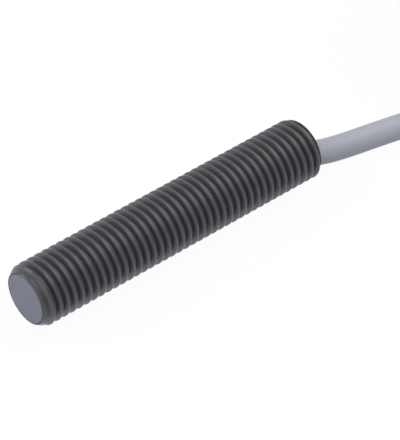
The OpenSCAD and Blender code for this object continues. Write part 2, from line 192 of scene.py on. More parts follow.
def placed(name: str, data: ID) -> Object:
    """A new object in the scene, at the origin.

    Args:
        name: Name of the object.
        data: Its mesh, lamp or camera.

    Returns:
        The object.
    """
    made = bpy.data.objects.new(name, data)
    bpy.context.scene.collection.objects.link(made)
    return made


@dataclass
class Shell:
    """Points and faces that are gathered from grids and end caps, in millimetres."""

    points: list[Array] = field(default_factory=list)
    faces: list[Array] = field(default_factory=list)
    marks: dict[str, list[Array]] = field(default_factory=dict)
    count: int = 0

    def add_points(self, points: Array, **marks: Array) -> Array:
        """Adds points without faces.

        Args:
            points: The points, in a grid or a row, by three.
            marks: Their attributes by name, a number or a vector for each point.

        Returns:
            The numbers of the points, in the grid's shape.
        """
        flat = points.reshape(-1, 3)
        numbers = np.arange(self.count, self.count + len(flat)).reshape(points.shape[:-1])
        self.points.append(flat)
        for name, values in marks.items():
            width = 3 if values.ndim == points.ndim else 1
            self.marks.setdefault(name, []).append(values.reshape(-1, width))
        self.count += len(flat)
        return numbers

    def grid(self, points: Array, around: bool = True, along: bool = False, **marks: Array) -> Array:
        """Adds a grid of four-sided faces between neighbouring rows and columns.

        Args:
            points: The grid's points, rows by columns by three.
            around: Whether the last column joins the first.
            along: Whether the last row joins the first.
            marks: Attributes of the points, by name.

        Returns:
            The numbers of the grid's points.
        """
        numbers = self.add_points(points, **marks)
        rows = np.concatenate([numbers, numbers[:1]]) if along else numbers
        cells = np.concatenate([rows, rows[:, :1]], axis=1) if around else rows
        quads = np.stack([cells[:-1, :-1], cells[1:, :-1], cells[1:, 1:], cells[:-1, 1:]], axis=-1)
        self.faces.append(quads.reshape(-1, 4))
        return numbers

    def cap(self, ring: Array, centre: Array, backwards: bool = False, **marks: Array) -> None:
        """Closes a ring with triangles that meet in its centre.

        Args:
            ring: Numbers of the ring's points.
            centre: Where the triangles meet.
            backwards: Whether the triangles run against the ring's order.
            marks: Attributes of the centre, by name.
        """
        middle = self.add_points(centre[None], **marks)[0]
        after = np.roll(ring, -1)
        first, second = (after, ring) if backwards else (ring, after)
        self.faces.append(np.stack([first, second, np.full(len(ring), middle)], axis=-1))

    def piece(self, name: str, sharp: float = 35.0) -> Object:
        """Makes the object: doubles merged, normals outwards, smooth up to an angle between faces.

        Args:
            name: Name of the piece.
            sharp: Angle in degrees from which an edge stays sharp.

        Returns:
            The new object, at the origin.
        """
        mesh = bpy.data.meshes.new(name)
        faces = [row for block in self.faces for row in block.tolist()]
        mesh.from_pydata(np.concatenate(self.points) * MM, [], faces)
        for mark, blocks in self.marks.items():
            values = np.concatenate(blocks)
            kind, slot = ("FLOAT_VECTOR", "vector") if values.shape[1] == 3 else ("FLOAT", "value")
            mesh.attributes.new(mark, kind, "POINT").data.foreach_set(slot, values.ravel())
        work = bmesh.new()
        work.from_mesh(mesh)
        bmesh.ops.remove_doubles(work, verts=work.verts, dist=WELD * MM)
        bmesh.ops.dissolve_degenerate(work, edges=work.edges, dist=WELD * MM)
        bmesh.ops.recalc_face_normals(work, faces=work.faces)
        work.to_mesh(mesh)
        work.free()
        mesh.shade_smooth()
        mesh.set_sharp_from_angle(angle=math.radians(sharp))
        return placed(name, mesh)


def revolved(shell: Shell, profile: Sequence[tuple[float, float]], steps: int, **marks: float) -> None:
    """Adds the surface that a profile of (x, radius) pairs sweeps about the barrel's axis.

    Args:
        shell: Shell that takes the surface.
        profile: The pairs, in order.
        steps: Steps round the axis.
        marks: Attributes by name, with one value for the whole surface.
    """
    x, radius = np.asarray(profile, float).T
    points = turned(x[:, None], radius[:, None], ring_angles(steps)[None])
    shell.grid(points, **{name: np.full(points.shape[:2], value) for name, value in marks.items()})


def tube_piece(name: str, path: Array, diameter: float, sides: int) -> Object:
    """A round tube along a path, closed at both ends.

    It carries where its points would lie if it ran straight: (radius * cos a, radius * sin a, length).

    Args:
        name: Name of the piece.
        path: Points of its middle, one a row.
        diameter: Diameter of the tube.
        sides: Sides of the tube.

    Returns:
        The tube.
    """
    shell = Shell()
    radius, angle = diameter / 2, ring_angles(sides)
    flat = points_of(np.cos(angle) * radius, np.sin(angle) * radius, distances(path)[:, None])
    rings = shell.grid(tube_rings(path, radius, sides), **{STRAIGHT: flat})
    for end, backwards in ((0, False), (-1, True)):
        middle = flat[end].mean(axis=0)[None]
        shell.cap(rings[end], path[end], backwards, **{STRAIGHT: middle})
    return shell.piece(name, sharp=60.0)


# Shader maths and finishes


@dataclass(frozen=True)
class Value:
    """A number that a shader works out. Expressions on it add the Math nodes."""

    graph: Graph
    socket: NodeSocket

    def __add__(self, other: Value | float) -> Value:
        """Sum."""
        return self.graph.math("ADD", self, other)

    __radd__ = __add__

    def __sub__(self, other: Value | float) -> Value:
        """Difference."""
        return self.graph.math("SUBTRACT", self, other)

    def __rsub__(self, other: float) -> Value:
        """Difference from a plain number."""
        return self.graph.math("SUBTRACT", other, self)

    def __mul__(self, other: Value | float) -> Value:
        """Product."""
        return self.graph.math("MULTIPLY", self, other)

    __rmul__ = __mul__

    def __pow__(self, other: float) -> Value:
        """Power."""
        return self.graph.math("POWER", self, other)

    def held(self) -> Value:
        """The value kept between 0 and 1."""
        return self.graph.math("ADD", self, 0.0, use_clamp=True)


def wandering(base: Value | float, *parts: tuple[float, Value]) -> Value:
    """A value that noise moves: base + amount * (noise - 1/2) for each part, kept between 0 and 1.

    Args:
        base: The value that is moved.
        parts: Pairs of an amount and a noise.

    Returns:
        The moved value.
    """
    total = base
    for amount, noise in parts:
        total = total + amount * (noise - 0.5)
    return total.held()


def shaded(colour: Colour, factor: float) -> Colour:
    """The colour with each of its parts scaled."""
    return tuple(part * factor for part in colour)


class Graph:
    """The nodes of one material, or of the world."""

    def __init__(self, name: str, world: bool = False) -> None:
        """Starts empty, with its output node only.

        Args:
            name: Name of the material or the world.
            world: Whether the nodes are the world's.
        """
        self.owner = (bpy.data.worlds if world else bpy.data.materials).new(name)
        self.owner.use_nodes = True
        self.tree = self.owner.node_tree
        self.tree.nodes.clear()
        self.output = self.node("ShaderNodeOutputWorld" if world else "ShaderNodeOutputMaterial")

    def node(self, kind: str, settings: dict | None = None, inputs: dict | None = None) -> Node:
        """Adds a node.

        Args:
            kind: The node's type.
            settings: Its settings, which are set first.
            inputs: Values or links of its sockets, by name or number.

        Returns:
            The new node.
        """
        made = self.tree.nodes.new(kind)
        for name, value in (settings or {}).items():
            setattr(made, name, value)
        for name, value in (inputs or {}).items():
            source = value.socket if isinstance(value, Value) else value
            if isinstance(source, NodeSocket):
                self.tree.links.new(source, made.inputs[name])
            else:
                made.inputs[name].default_value = source
        return made

    def math(self, operation: str, *operands: Value | float, use_clamp: bool = False) -> Value:
        """Adds a Math node and returns its result."""
        settings = {"operation": operation, "use_clamp": use_clamp}
        return Value(self, self.node("ShaderNodeMath", settings, dict(enumerate(operands))).outputs[0])

    def place(self) -> NodeSocket:
        """Object coordinates, in metres."""
        return self.node("ShaderNodeTexCoord").outputs["Object"]

    def attribute(self, name: str, output: str) -> NodeSocket:
        """An attribute of the surface, as its Vector or its Fac."""
        return self.node("ShaderNodeAttribute", {"attribute_name": name}).outputs[output]

    def parts(self, vector: NodeSocket) -> tuple[Value, ...]:
        """The X, Y and Z of a vector."""
        split = self.node("ShaderNodeSeparateXYZ", None, {0: vector})
        return tuple(Value(self, output) for output in split.outputs)

    def stretched(self, vector: NodeSocket, scale: Triple) -> NodeSocket:
        """A vector with each of its parts scaled."""
        inputs = {0: vector, 1: scale}
        return self.node("ShaderNodeVectorMath", {"operation": "MULTIPLY"}, inputs).outputs[0]

    def noise(self, vector: NodeSocket, size: float, detail: float = 2.0) -> Value:
        """Soft noise whose features are about size across, in the vector's own unit."""
        inputs = {"Vector": vector, "Scale": 1.0 / size, "Detail": detail}
        return Value(self, self.node("ShaderNodeTexNoise", None, inputs).outputs[0])

    def cells(self, vector: NodeSocket, size: float) -> Value:
        """Distance to the nearest of scattered points about size apart."""
        made = self.node("ShaderNodeTexVoronoi", None, {"Vector": vector, "Scale": 1.0 / size})
        return Value(self, made.outputs["Distance"])

    def blend(self, factor: Value, low: Colour | NodeSocket, high: Colour) -> NodeSocket:
        """Colour between two, of which the first may be a link.

        Args:
            factor: 0 for the first colour and 1 for the second.
            low: The first colour.
            high: The second colour.

        Returns:
            Link to the blended colour.
        """
        first = (*low, 1.0) if isinstance(low, tuple) else low
        inputs = {0: factor, 6: first, 7: (*high, 1.0)}
        return self.node("ShaderNodeMix", {"data_type": "RGBA"}, inputs).outputs[2]

    def bump(self, height: Value, depth: float, under: NodeSocket | None = None) -> NodeSocket:
        """Normal of a surface that varies by depth millimetres, over another normal where given.

        Args:
            height: Height in shares of the depth.
            depth: Depth in millimetres.
            under: Link to the other normal.

        Returns:
            Link to the normal.
        """
        inputs = {"Height": height, "Distance": depth * MM, "Strength": 1.0}
        if under is not None:
            inputs["Normal"] = under
        return self.node("ShaderNodeBump", None, inputs).outputs["Normal"]

    def surface(
        self, colour: NodeSocket, roughness: Value, normal: NodeSocket, metallic: float = 0.0
    ) -> Material:
        """Finishes the material with one shader.

        Args:
            colour: Link to the base colour.
            roughness: Roughness.
            normal: Link to the normal.
            metallic: 1 for metal and 0 for the rest, the same all over.

        Returns:
            The material.
        """
        inputs = {"Base Color": colour, "Roughness": roughness, "Metallic": metallic, "Normal": normal}
        shader = self.node("ShaderNodeBsdfPrincipled", None, inputs)
        self.tree.links.new(shader.outputs["BSDF"], self.output.inputs["Surface"])
        return self.owner


@dataclass(frozen=True)
class MouldedPlastic:
    """Matt moulded plastic: a faint mottle, a fine grain and a roughness that wanders a little."""

    colour: Colour
    mottle: float = 0.12
    mottle_size: float = 1.6
    grain_size: float = 0.12
    grain_depth: float = 0.004
    roughness: float = 0.5
    mottle_roughness: float = 0.1
    grain_roughness: float = 0.1
    grain_share: float = 0.3

    def paint(self, graph: Graph) -> Material:
        """Adds the material's nodes.

        Args:
            graph: The material's graph, which holds its output node only.

        Returns:
            The material.
        """
        place = graph.place()
        mottle = graph.noise(place, self.mottle_size * MM, 3.0)
        grain = graph.noise(place, self.grain_size * MM, 2.0)
        dark, light = (shaded(self.colour, 1 + side * self.mottle) for side in (-1, 1))
        tone = (1 - self.grain_share) * mottle + self.grain_share * grain
        return graph.surface(
            graph.blend(tone.held(), dark, light),
            wandering(self.roughness, (self.mottle_roughness, mottle), (self.grain_roughness, grain)),
            graph.bump(grain, self.grain_depth),
        )


@dataclass(frozen=True)
class ThreadPlastic:
    """Charcoal plastic of the barrel: paler on the rubbed crests, with painted shade in the roots and
    inside, and fine marks round the thread.
    """

    # Painted shade: the root colour darkens the bottoms of the grooves and the barrel's rim, bore and rear
    # end; the paler crest colour is the rubbed plastic of the crests.
    root: Colour = (0.052, 0.052, 0.059)
    crest: Colour = (0.059, 0.059, 0.068)
    mottle_size: float = 1.4
    grain_size: float = 0.09
    mark_size: float = 0.05
    mark_stretch: float = 0.12
    wear_and_shade_power: float = 2.0
    wear_and_shade_level: float = 0.72
    wear_and_shade_spread: float = 0.4
    speckle: float = 0.25
    grain_share: float = 0.6
    depth: float = 0.006
    roughness: float = 0.4
    crest_gloss: float = 0.04
    mottle_roughness: float = 0.1
    grain_roughness: float = 0.08

    def paint(self, graph: Graph) -> Material:
        """Adds the material's nodes.

        Args:
            graph: The material's graph, which holds its output node only.

        Returns:
            The material.
        """
        place = graph.place()
        height = Value(graph, graph.attribute(CREST, "Fac"))
        mottle = graph.noise(place, self.mottle_size * MM, 3.0)
        grain = graph.noise(place, self.grain_size * MM, 3.0)
        drawn = graph.stretched(place, (1.0, self.mark_stretch, self.mark_stretch))
        marks = graph.noise(drawn, self.mark_size * MM, 1.0)
        # Painted shade on the thread: the factor is low in the roots, where the darker root colour stands
        # for shade, and high on the crests, which are paler where rubbed.
        wear_and_shade = (height**self.wear_and_shade_power) * (self.wear_and_shade_level + self.wear_and_shade_spread * (mottle - 0.5))
        relief = self.grain_share * grain + (1 - self.grain_share) * marks
        rough = self.roughness - self.crest_gloss * height
        return graph.surface(
            graph.blend(wandering(wear_and_shade, (self.speckle, grain)), self.root, self.crest),
            wandering(rough, (self.mottle_roughness, mottle), (self.grain_roughness, grain)),
            graph.bump(relief, self.depth),
        )


@dataclass(frozen=True)
class Sheath:
    """Soft plastic of a cable or a core: faint lines drawn along it, fine grain and faint soil."""

    colour: Colour
    roughness: float = 0.57
    line_size: float = 0.18
    line_stretch: float = 0.02
    line_depth: float = 0.006
    grain_size: float = 0.07
    grain_depth: float = 0.002
    soil_size: float = 6.0
    darkest: float = 0.9
    palest: float = 1.08
    soil_share: float = 0.45
    line_share: float = 0.3
    grain_share: float = 0.25
    soil_roughness: float = 0.16
    grain_roughness: float = 0.12

    def paint(self, graph: Graph) -> Material:
        """Adds the material's nodes.

        Args:
            graph: The material's graph, which holds its output node only.

        Returns:
            The material.
        """
        where = graph.attribute(STRAIGHT, "Vector")
        lines = graph.noise(graph.stretched(where, (1.0, 1.0, self.line_stretch)), self.line_size, 2.0)
        grain = graph.noise(where, self.grain_size, 2.0)
        soil = graph.noise(where, self.soil_size, 3.0)
        dark, light = shaded(self.colour, self.darkest), shaded(self.colour, self.palest)
        tone = self.soil_share * soil + self.line_share * lines + self.grain_share * grain
        return graph.surface(
            graph.blend(tone.held(), dark, light),
            wandering(self.roughness, (self.soil_roughness, soil), (self.grain_roughness, grain)),
            graph.bump(grain, self.grain_depth, under=graph.bump(lines, self.line_depth)),
        )


@dataclass(frozen=True)
class Metal:
    """Bare or enamelled metal with fine drawn marks and tarnish."""

    colour: Colour
    tarnish: Colour
    roughness: float = 0.3
    mark_size: float = 0.05
    mark_stretch: float = 0.1
    mark_depth: float = 0.002
    spot_size: float = 0.5
    spot_start: float = 0.42
    spot_contrast: float = 2.2
    spot_roughness: float = 0.2
    mark_roughness: float = 0.15

    def paint(self, graph: Graph) -> Material:
        """Adds the material's nodes.

        Args:
            graph: The material's graph, which holds its output node only.

        Returns:
            The material.
        """
        place = graph.place()
        spots = graph.noise(place, self.spot_size * MM, 4.0)
        drawn = graph.stretched(place, (self.mark_stretch, 1.0, 1.0))
        marks = graph.noise(drawn, self.mark_size * MM, 2.0)
        tarnished = ((spots - self.spot_start) * self.spot_contrast).held()
        return graph.surface(
            graph.blend(tarnished, self.colour, self.tarnish),
            wandering(self.roughness, (self.spot_roughness, spots), (self.mark_roughness, marks)),
            graph.bump(marks, self.mark_depth),
            metallic=1.0,
        )


@dataclass(frozen=True)
class Sintered:
    """Ferrite or ceramic: grains of two tones and fine pits."""

    colour: Colour
    fleck: Colour
    roughness: float = 0.6
    grain_size: float = 0.06
    cloud_size: float = 0.4
    fleck_start: float = 0.35
    fleck_contrast: float = 1.6
    fleck_spread: float = 0.5
    roughness_spread: float = 0.2
    pit_depth: float = 0.008

    def paint(self, graph: Graph) -> Material:
        """Adds the material's nodes.

        Args:
            graph: The material's graph, which holds its output node only.

        Returns:
            The material.
        """
        place = graph.place()
        grains = graph.cells(place, self.grain_size * MM)
        cloud = graph.noise(place, self.cloud_size * MM, 3.0)
        flecks = (grains - self.fleck_start) * self.fleck_contrast
        return graph.surface(
            graph.blend(wandering(flecks, (self.fleck_spread, cloud)), self.colour, self.fleck),
            wandering(self.roughness, (self.roughness_spread, cloud)),
            graph.bump(grains, self.pit_depth),
        )


@dataclass(frozen=True)
class LacqueredBoard:
    """Green lacquer over glass cloth: the weave shows faintly, with paler tracks under the lacquer."""

    lacquer: Colour = (0.012, 0.10, 0.035)
    track: Colour = (0.05, 0.24, 0.09)
    edge: Colour = (0.30, 0.27, 0.13)
    weave: float = 0.35
    weave_shade: float = 0.25
    weave_share: float = 0.3
    weave_roughness: float = 0.1
    track_step: float = 1.05
    track_start: float = 0.35
    track_contrast: float = 6.0
    wander: float = 9.0
    wander_size: float = 3.0
    edge_start: float = 0.5
    roughness: float = 0.32
    depth: float = 0.01

    def paint(self, graph: Graph) -> Material:
        """Adds the material's nodes.

        Args:
            graph: The material's graph, which holds its output node only.

        Returns:
            The material.
        """
        place = graph.place()
        along, across, _ = graph.parts(place)
        turn = 2 * math.pi / MM
        warp, weft = (graph.math("SINE", part * (turn / self.weave)) for part in (along, across))
        cloth = 0.5 + 0.5 * warp * weft
        bend = graph.noise(place, self.wander_size * MM, 0.0)
        lines = graph.math("SINE", across * (turn / self.track_step) + self.wander * bend)
        tracks = ((lines - self.track_start) * self.track_contrast).held()
        upright = graph.parts(graph.node("ShaderNodeNewGeometry").outputs["Normal"])[2]
        rim = (1.0 - graph.math("ABSOLUTE", upright)).held()
        shown = tracks * (1 - self.weave_shade + self.weave_shade * cloth)
        green = graph.blend(shown, self.lacquer, self.track)
        return graph.surface(
            graph.blend(graph.math("GREATER_THAN", rim, self.edge_start), green, self.edge),
            (self.roughness + self.weave_roughness * cloth).held(),
            graph.bump(self.weave_share * cloth + (1 - self.weave_share) * tracks, self.depth),
        )


class Finish(Enum):
    """The finishes of the object's pieces, each under its material slot."""

    BARREL = ("barrel_plastic", ThreadPlastic())
    FACE = ("face_plastic", MouldedPlastic((0.162, 0.166, 0.214), 0.03, 2.2, 0.09, 0.002, 0.5, 0.06))
    FERRITE = ("ferrite", Sintered((0.035, 0.033, 0.034), (0.09, 0.085, 0.085)))
    BOBBIN = ("bobbin_plastic", MouldedPlastic((0.62, 0.56, 0.44), 0.06, 0.8, 0.08, 0.003, 0.45))
    COPPER = ("copper", Metal((0.72, 0.32, 0.14), (0.42, 0.15, 0.06), 0.28))
    HOLDER = ("holder_plastic", MouldedPlastic((0.028, 0.028, 0.030), 0.15, 1.0, 0.1, 0.004, 0.48))
    BOARD = ("board", LacqueredBoard())
    COMPONENT = ("component_body", MouldedPlastic((0.022, 0.022, 0.024), 0.2, 0.5, 0.05, 0.003, 0.55))
    CERAMIC = ("capacitor_ceramic", Sintered((0.33, 0.22, 0.13), (0.44, 0.32, 0.21), 0.5, 0.09))
    SOLDER = ("solder", Metal((0.72, 0.72, 0.71), (0.48, 0.48, 0.48), 0.24, 0.12))
    RESIN = ("resin", MouldedPlastic((0.016, 0.016, 0.018), 0.2, 1.2, 0.3, 0.004, 0.2, 0.12))
    SHEATH = ("sheath", Sheath((0.393, 0.411, 0.460)))
    BROWN = ("core_brown", Sheath((0.115, 0.040, 0.016), 0.32, 0.1))
    BLUE = ("core_blue", Sheath((0.012, 0.065, 0.30), 0.32, 0.1))
    BLACK = ("core_black", Sheath((0.014, 0.014, 0.015), 0.32, 0.1))
    CRIMP = ("crimp_metal", Metal((0.66, 0.46, 0.19), (0.40, 0.25, 0.09), 0.32))
    TIE = ("tie_plastic", MouldedPlastic((0.026, 0.026, 0.028), 0.14, 1.4, 0.1, 0.005, 0.5))

    @property
    def slot(self) -> str:
        """Name of the material slot."""
        return self.value[0]

    def material(self) -> Material:
        """The finish's material, which is built once."""
        name = f"finish_{self.slot}"
        return bpy.data.materials.get(name) or self.value[1].paint(Graph(name))


# Placing of pieces


@dataclass
class Workshop:
    """Puts pieces and carried-over nodes on the object's body and gives them their finish."""

    frame: dict

    def fit(self, piece: Object, finish: Finish, *nodes: str) -> Object:
        """Rides a new piece on the body, in the place of the nodes that it stands for.

        Args:
            piece: The piece.
            finish: Its finish.
            nodes: Names of the nodes that it replaces.

        Returns:
            The piece.
        """
        piece.data.materials.append(finish.material())
        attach(piece, BODY)
        finish.slot
        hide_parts(*nodes)
        LOG.info("%s: %d faces, %s", piece.name, len(piece.data.polygons), finish.slot)
        return piece

    def dress(self, finish: Finish, *nodes: str) -> None:
        """Gives carried-over nodes a finish.

        Args:
            finish: The finish.
            nodes: Names of the nodes.
        """
        for name in nodes:
            slots = self.frame["nodes"][name].data.materials
            slots.clear()
            slots.append(finish.material())
            LOG.info("%s: kept, %s", name, finish.slot)


# Barrel


@dataclass
class ThreadedBarrel:
    """The housing, with its outside thread as one true helix."""

    radius: float = 4.0
    length: float = 42.5
    pitch: float = 1.07
    depth: float = 0.6
    crest_flat: float = 0.2
    root_flat: float = 0.2
    phase: float = 0.62
    rim: float = 3.32
    taper: float = 1.0
    rear_chamfer: float = 0.5
    bore: float = 2.7
    face_seat: float = 3.2
    face_depth: float = 0.6
    lip: float = 0.02
    bevel: float = 0.1
    mouth: float = 0.25
    rounding: float = 0.03
    thread_rounding: float = 0.05
    least_depth: float = 0.25
    turns_before: int = 2
    turns_spare: int = 3
    steps: int = 96

    @property
    def root(self) -> float:
        """Radius at the bottom of the thread."""
        return self.radius - self.depth

    @property
    def rear_rim(self) -> float:
        """Radius of the rear end, inside its chamfer."""
        return self.radius - self.rear_chamfer

    def blank(self, x: Array) -> Array:
        """Radius before the thread is cut: a taper at the front, a cylinder, a chamfer at the rear.

        Args:
            x: Places along the axis, from the front.

        Returns:
            The radius at each place.
        """
        front = self.rim + (self.radius - self.rim) * x / self.taper
        rear = self.rear_rim + (self.length - x)
        return soft_min(soft_min(front, self.radius, self.rounding), rear, self.rounding)

    def thread(self, share: Array) -> Array:
        """Radius at a share of the pitch past a groove's middle: flat, flank and flat, rounded.

        The lower corner is rounded as the upper one is, on the heights with their signs turned.

        Args:
            share: Shares of the pitch. A whole number is the middle of a groove.

        Returns:
            The radius at each share.
        """
        away = np.abs((share + 0.5) % 1.0 - 0.5) * self.pitch
        flank = (self.pitch - self.crest_flat - self.root_flat) / 2
        height = self.depth * (away - self.root_flat / 2) / flank
        raised = -soft_min(-height, 0.0, self.thread_rounding)
        return self.root + soft_min(raised, self.depth, self.thread_rounding)

    def shares(self) -> Array:
        """Places of the points across one pitch, closer together at the corners of the profile."""
        half = np.array([0.0, 0.05, 0.09, 0.13, 0.18, 0.235, 0.29, 0.34, 0.375, 0.409, 0.445, 0.5])
        return np.concatenate([half, 1.0 - half[-2:0:-1]])

    def outside(self) -> tuple[Array, Array]:
        """Grid of the thread: each row is one angle and each column follows the helix.

        The middle of a groove is at x = phase + pitch * (a / 360 - 3/4 + k) at the angle a. The first
        turn fades out where the taper is thinner than the thread's root. Points past an end are drawn
        back to it, and the nearest point of each row is set on each corner of the blank.

        Returns:
            The points, and how little of the blank was cut away at each, from 0 in a root to 1 on a
            crest.
        """
        share = self.shares()
        turns = math.ceil(self.length / self.pitch) + self.turns_spare
        places = (np.arange(turns)[:, None] + share[None]).ravel() - self.turns_before
        angle = np.linspace(0.0, 2 * math.pi, self.steps + 1)
        shift = angle / (2 * math.pi) - 0.75
        x = self.phase + self.pitch * (places[None] + shift[:, None])
        rows = np.arange(len(angle))
        for corner in (self.taper, self.length - self.rear_chamfer):
            x[rows, np.abs(x - corner).argmin(axis=1)] = corner
        groove = (x - self.phase) / self.pitch - shift[:, None]
        x = np.clip(x, 0.0, self.length)
        blank = self.blank(x)
        radius = soft_min(blank, self.thread(groove), self.rounding)
        radius = np.select([x <= 0.0, x >= self.length], [self.rim, self.rear_rim], radius)
        depth = np.clip(blank - self.root, self.least_depth, self.depth)
        return turned(x, radius, angle[:, None]), np.clip(1.0 - (blank - radius) / depth, 0.0, 1.0)

    def inside(self) -> list[tuple[float, float]]:
        """Profile from the front rim through the bore to the rear end.

        Returns:
            Pairs of x and radius.
        """
        return [
            (0.0, self.rim),
            (0.0, self.rim - self.lip),
            (self.bevel, self.face_seat),
            (self.face_depth, self.face_seat),
            (self.face_depth, self.bore),
            (self.length - self.mouth, self.bore),
            (self.length, self.bore + self.mouth),
            (self.length, self.rear_rim),
        ]

    def build(self, shop: Workshop) -> None:
        """Makes the barrel.

        Args:
            shop: Workshop that places the piece.
        """
        shell = Shell()
        points, crest = self.outside()
        shell.grid(points, around=False, **{CREST: crest})
        # Painted shade: the rim round the face, the bore and the rear end take the darker root colour.
        revolved(shell, self.inside(), self.steps, **{CREST: 0.0})
        shop.fit(shell.piece("threaded_barrel", sharp=28.0), Finish.BARREL, "barrel")


@dataclass
class SensingFace:
    """The gray cup whose flange fills the front of the barrel."""

    radius: float = 3.18
    thickness: float = 0.6
    cup: float = 2.68
    cup_inside: float = 2.42
    cup_end: float = 5.2
    edge: float = 0.07
    bevel: float = 0.05
    rings: tuple[float, ...] = (0.0, 0.8, 1.6, 2.4, 2.9)
    edge_points: int = 5
    steps: int = 96

    def build(self, shop: Workshop) -> None:
        """Makes the cup from its closed profile, with a smooth front.

        The front's edge is a quarter circle: (edge * (1 - sin a), radius - edge * (1 - cos a)).

        Args:
            shop: Workshop that places the piece.
        """
        profile = [(0.0, ring) for ring in self.rings]
        profile += [
            (self.edge * (1 - math.sin(angle)), self.radius - self.edge * (1 - math.cos(angle)))
            for angle in np.linspace(math.pi / 2, 0.0, self.edge_points)
        ]
        profile += [
            (self.thickness, self.radius),
            (self.thickness, self.cup),
            (self.cup_end - self.bevel, self.cup),
            (self.cup_end, self.cup - self.bevel),
            (self.cup_end, self.cup_inside),
            (self.thickness, self.cup_inside),
            (self.thickness, 0.0),
        ]
        shell = Shell()
        revolved(shell, profile, self.steps)
        shop.fit(shell.piece("sensing_face"), Finish.FACE, "face_cap")


# Lead


@dataclass
class FlyingLead:
    """The round lead: its stretch along the floor, its hank, and the stripped cores at its far end.

    The points of the route repeat the CAD model's. The outer column of the hank climbs a layer on each
    turn, at the near end. It crosses to the inner column on top, which comes down a layer on each turn.
    """

    diameter: float = 3.2
    core: float = 1.1
    core_ring: float = 0.68
    exit_x: float = 38.0
    near_x: float = 84.0
    far_x: float = 132.0
    start_gap: float = 2.0
    end_gap: float = 4.0
    middle_y: float = 2.95
    floor_z: float = -4.0
    first_z: float = -1.8
    step: float = 3.25
    layers: int = 6
    inner: float = 9.7
    cross_x: float = 102.0
    cross_run: float = 16.0
    sink_x: float = 122.0
    sink_run: float = 20.0
    climb_from: float = 110.0
    climb_over: float = 135.0
    length: float = 2000.0
    sides: int = 24
    core_sides: int = 18
    run_points: int = 40
    back_points: int = 60
    spacing: float = 1.15
    route_step: float = 0.5
    core_step: float = 0.3
    strip: float = 12.0
    spread: float = 2.9
    heading: tuple[float, float] = (-2.0, -0.85)
    tip: float = 3.0
    tip_radius: float = 0.3
    tip_round: float = 0.12
    tip_blunt: float = 0.06
    tip_points: int = 46
    strands: int = 7
    strand_sides: int = 6
    strand_relief: float = 0.07
    twist: float = 1.1

    @property
    def outer(self) -> float:
        """Radius of the outer turns."""
        return self.inner + self.step

    def approach(self) -> Array:
        """From the plug along the floor to the first turn.

        Returns:
            Points of the lead's middle, none of them lower than on the floor.
        """
        shape = [
            [0, 0, 0], [1, 0, 0], [2.5, -0.05, -0.22], [4, -0.2, -0.7], [5.5, -0.4, -1.28],
            [7, -0.6, -1.82], [8.5, -0.8, -2.14], [10, -1.02, -2.32], [12, -1.4, -2.4],
            [16, -2.25, -2.4], [21, -3.4, -2.4], [26, -4.65, -2.4], [31, -6.2, -2.4], [35.5, -7.95, -2.35],
            [39, -9.2, -2.2], [42.5, -9.9, -1.95], [45.5, -10, -1.8], [48, -10, -1.8],
        ]
        route = smooth_route(np.array(shape, float) + [self.exit_x, 0, 0], self.route_step)
        route[:, 2] = np.maximum(route[:, 2], self.floor_z + self.diameter / 2)
        return route

    def ending(self) -> Array:
        """From the lowest inner turn to the floor inside the loop.

        Returns:
            Points of the lead's middle.
        """
        shape = [[0, 0, 0], [1, 0, 0], [2.5, 0.1, 0.18], [4, 0.45, 0.42], [6, 1.15, 0.6], [8, 2, 0.6]]
        start = [self.far_x - self.end_gap, self.middle_y + self.inner, self.first_z]
        return smooth_route(start - np.array(shape), self.route_step)

    def height(self, layer: Array | float) -> Array:
        """Height of a layer's middle; the first layer is 1."""
        return self.first_z + self.step * (np.asarray(layer, float) - 1)

    def turn(
        self, start: float, end: float, radius: tuple[float, float], layer: float, drop: float
    ) -> Array:
        """One turn of the hank, from the near end round to the near end again.

        The radius and the layer go over by smoothstep along the second run.

        Args:
            start: Where the first run starts along X.
            end: Where the second run ends along X.
            radius: Radius of the turn before and after the crossing on its second run.
            layer: Layer on its first run.
            drop: Layers that it sinks on its second run.

        Returns:
            Points of both runs and the far bend.
        """
        before, after = radius
        out = np.linspace(start, self.far_x, self.run_points, endpoint=False)
        bend = np.radians(np.linspace(-90.0, 90.0, self.run_points, endpoint=False))
        back = np.linspace(self.far_x, end, self.back_points)
        size = before + (after - before) * smoothstep((self.cross_x - back) / self.cross_run)
        sunk = layer - drop * smoothstep((self.sink_x - back) / self.sink_run)
        level = self.height(layer)
        return np.concatenate([
            points_of(out, self.middle_y - before, level),
            points_of(self.far_x + before * np.cos(bend), self.middle_y + before * np.sin(bend), level),
            points_of(back, self.middle_y + size, self.height(sunk)),
        ])

    def near_bend(self, radius: float, layer: float, rise: float) -> Array:
        """Half turn round the near end: (near_x + r cos a, middle_y + r sin a).

        Its layer rises by smoothstep of the angle, which takes an outer turn up to the next layer.

        Args:
            radius: Radius of the bend.
            layer: Layer that it starts on.
            rise: Layers that it climbs.

        Returns:
            Points of the bend.
        """
        degrees = np.linspace(90.0, 270.0, self.run_points + 2)[1:-1]
        angle = np.radians(degrees)
        climbed = layer + rise * smoothstep((degrees - self.climb_from) / self.climb_over)
        x, y = self.near_x + radius * np.cos(angle), self.middle_y + radius * np.sin(angle)
        return points_of(x, y, self.height(climbed))

    def centreline(self) -> Array:
        """The whole lead, from the plug to where its sheath ends.

        Returns:
            Points of its middle, an even distance apart.
        """
        parts = [self.approach()[:-1]]
        inner = (self.inner, self.inner)
        for number in range(1, self.layers + 1):
            last = number == self.layers
            start = self.near_x + self.start_gap if number == 1 else self.near_x
            size = (self.outer, self.inner if last else self.outer)
            parts.append(self.turn(start, self.near_x, size, number, 0.0))
            parts.append(self.near_bend(size[1], number, 0.0 if last else 1.0))
        for layer in range(self.layers, 1, -1):
            parts.append(self.turn(self.near_x, self.near_x, inner, layer, 1.0))
            parts.append(self.near_bend(self.inner, layer - 1, 0.0))
        parts.append(self.turn(self.near_x, self.far_x - self.end_gap, inner, 1, 0.0)[:-1])
        parts.append(self.ending())
        return respaced(np.concatenate(parts), self.spacing)

